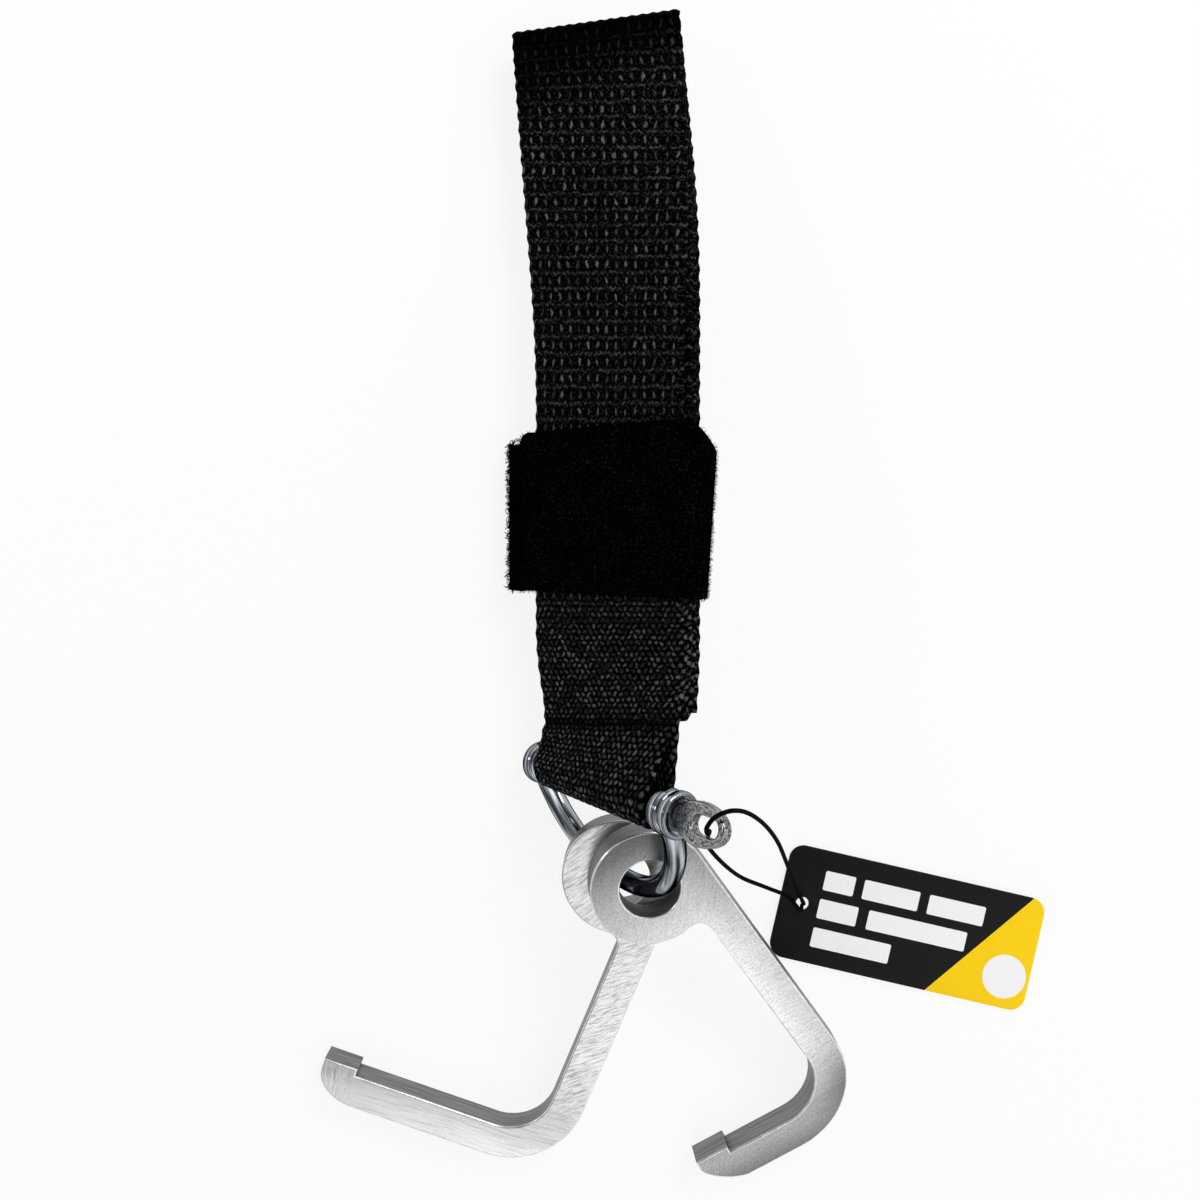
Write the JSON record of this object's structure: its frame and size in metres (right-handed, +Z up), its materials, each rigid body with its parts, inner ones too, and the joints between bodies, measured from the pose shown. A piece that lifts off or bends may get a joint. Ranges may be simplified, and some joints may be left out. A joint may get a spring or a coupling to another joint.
{
  "type": "manhole cover lifter",
  "caption": "Hand lifter for manhole covers: a folded webbing sling with a wrap, sewn to a shackle that carries flat steel hooks, with a swing tag on a cord.",
  "frame": {"origin": "on the floor that the lifter lies on, under the middle of the box of sling, shackle and hooks", "axes": "+X to the right as the picture shows it, +Y from the hooks to the sling's top fold, +Z up from the floor"},
  "size_m": [0.2201, 0.3489, 0.0718],
  "materials": {
    "webbing": "woven matte",
    "wrap": "napped matte",
    "polished_steel": "polished",
    "plate_steel": "brushed",
    "tag": "satin",
    "cord": "matte"
  },
  "bodies": {
    "sling": {"sling_webbing": "webbing", "wrap_back": "wrap"},
    "flap": {"wrap_flap": "wrap"},
    "shackle": {"shackle_bow": "polished_steel"},
    "pin": {"shackle_pin": "polished_steel"},
    "long_hook": {"long_hook": "plate_steel"},
    "short_hook": {"short_hook": "plate_steel"},
    "tag": {"tag_card": "tag", "tag_cord": "cord"}
  },
  "joints": [
    {"name": "flap_open", "type": "hinge", "parent": "sling", "child": "flap", "pos_m": [0.02081, 0.02538, 0.03682], "axis": [0, 1, 0], "range_deg": [0, 95]},
    {"name": "shackle_swing", "type": "hinge", "parent": "sling", "child": "shackle", "pos_m": [0.00482, -0.05112, 0.02925], "axis": [0.6063, -0.1069, 0.788], "range_deg": [-60, 60]},
    {"name": "pin_draw", "type": "slide", "parent": "shackle", "child": "pin", "axis": [0.6063, -0.1069, 0.788], "range_m": [0, 0.06]},
    {"name": "long_hook_swing", "type": "hinge", "parent": "shackle", "child": "long_hook", "pos_m": [0.01078, -0.07923, 0.01596], "axis": [-0.0404, -0.1174, 0.9923], "range_deg": [-90, 6]},
    {"name": "short_hook_swing", "type": "hinge", "parent": "shackle", "child": "short_hook", "pos_m": [0.01849, -0.07939, 0.02692], "axis": [0.1094, -0.2057, 0.9725], "range_deg": [-12, 10]},
    {"name": "tag_swing", "type": "hinge", "parent": "pin", "child": "tag", "pos_m": [0.03187, -0.05604, 0.06444], "axis": [0, 0, 1], "range_deg": [0, 24]}
  ]
}
